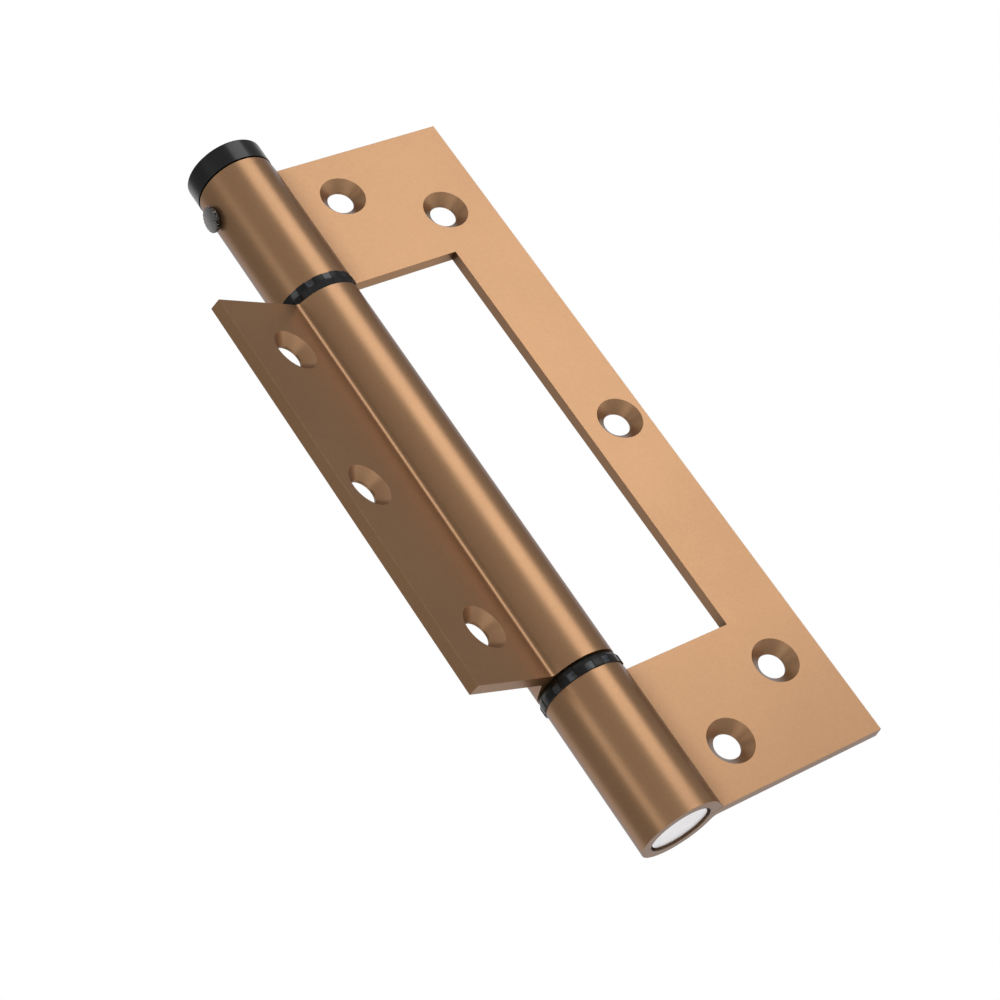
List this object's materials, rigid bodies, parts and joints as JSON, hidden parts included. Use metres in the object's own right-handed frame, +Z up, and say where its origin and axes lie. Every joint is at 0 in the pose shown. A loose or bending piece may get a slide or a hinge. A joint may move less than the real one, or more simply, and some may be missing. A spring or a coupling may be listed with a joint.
{
  "type": "spring hinge",
  "caption": "Adjustable interleaf spring hinge with a countersunk door leaf nesting in the frame leaf, nylon bushes, a torsion spring, a black tension cap and a lock pin.",
  "frame": {"origin": "on the hinge line, level with the lower end of the frame leaf", "axes": "+Z up the hinge line to the tension cap, +X out along the frame leaf, its countersunk face towards -Y"},
  "size_m": [0.0714, 0.0224, 0.1548],
  "materials": {
    "leaf_steel": "satin bronze coating",
    "black_nylon": "moulded, semi-gloss",
    "pale_steel": "turned, bright",
    "spring_wire": "oiled spring wire",
    "dark_steel": "blackened with a worn face"
  },
  "bodies": {
    "frame": {"frame_leaf": "leaf_steel", "lower_bush": "black_nylon", "upper_bush": "black_nylon", "bottom_pivot": "pale_steel"},
    "door": {"door_leaf": "leaf_steel", "door_hub": "pale_steel"},
    "tension": {"tension_cap": "black_nylon", "torsion_spring": "spring_wire"},
    "lock": {"lock_pin": "dark_steel"}
  },
  "joints": [
    {"name": "leaf_swing", "type": "hinge", "parent": "frame", "child": "door", "pos_m": [0, 0, 0], "axis": [0, 0, 1], "range_deg": [-27.2, 152.8], "stiffness_Nm_per_rad": 0.14, "deforming": ["torsion_spring"]},
    {"name": "cap_turn", "type": "hinge", "parent": "frame", "child": "tension", "pos_m": [0, 0, 0], "axis": [0, 0, 1], "range_deg": [0, 30], "deforming": ["torsion_spring"]},
    {"name": "pin_pull", "type": "slide", "parent": "frame", "child": "lock", "axis": [-1, 0, 0], "range_m": [0, 0.01]}
  ]
}
